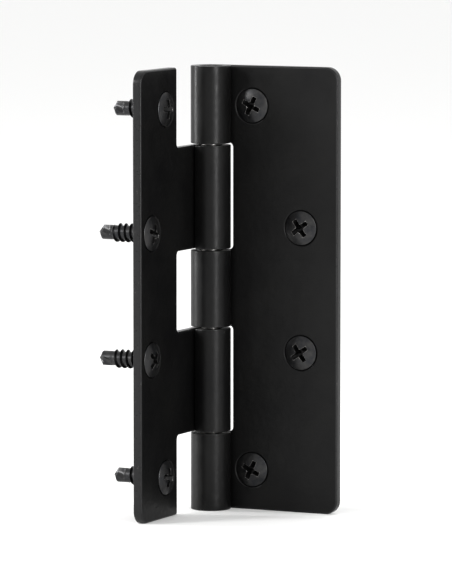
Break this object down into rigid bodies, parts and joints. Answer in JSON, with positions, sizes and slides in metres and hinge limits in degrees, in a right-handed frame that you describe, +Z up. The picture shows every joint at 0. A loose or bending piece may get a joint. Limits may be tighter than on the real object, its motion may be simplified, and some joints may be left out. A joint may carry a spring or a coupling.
{
  "type": "butt hinge",
  "caption": "Short five-knuckle steel hinge in satin black: two leaves of one size, one of them notched deeper, rolled round a hidden fixed pin, with countersunk drilling screws in staggered holes.",
  "frame": {"origin": "centre of the post leaf's flat mounting face", "axes": "+Z up along the hinge pin, +Y out of the post leaf's mounting face into the post, +X along the post leaf away from the pin"},
  "size_m": [0.0455, 0.0455, 0.1],
  "materials": {
    "leaf_paint": "satin black powder coat with a fine orange peel, worn a little at the edges",
    "pin_steel": "drawn steel wire, its cut ends lightly blackened",
    "screw_black": "black oxide with a soft sheen"
  },
  "bodies": {
    "post_side": {"post_leaf": "leaf_paint", "hinge_pin": "pin_steel", "post_screw_1": "screw_black", "post_screw_2": "screw_black", "post_screw_3": "screw_black", "post_screw_4": "screw_black"},
    "leg_side": {"leg_leaf": "leaf_paint", "leg_screw_1": "screw_black", "leg_screw_2": "screw_black", "leg_screw_3": "screw_black", "leg_screw_4": "screw_black"}
  },
  "joints": [
    {"name": "leaf_hinge", "type": "hinge", "parent": "post_side", "child": "leg_side", "pos_m": [-0.015, -0.0045, 0], "axis": [0, 0, 1], "range_deg": [-90, 90]}
  ]
}
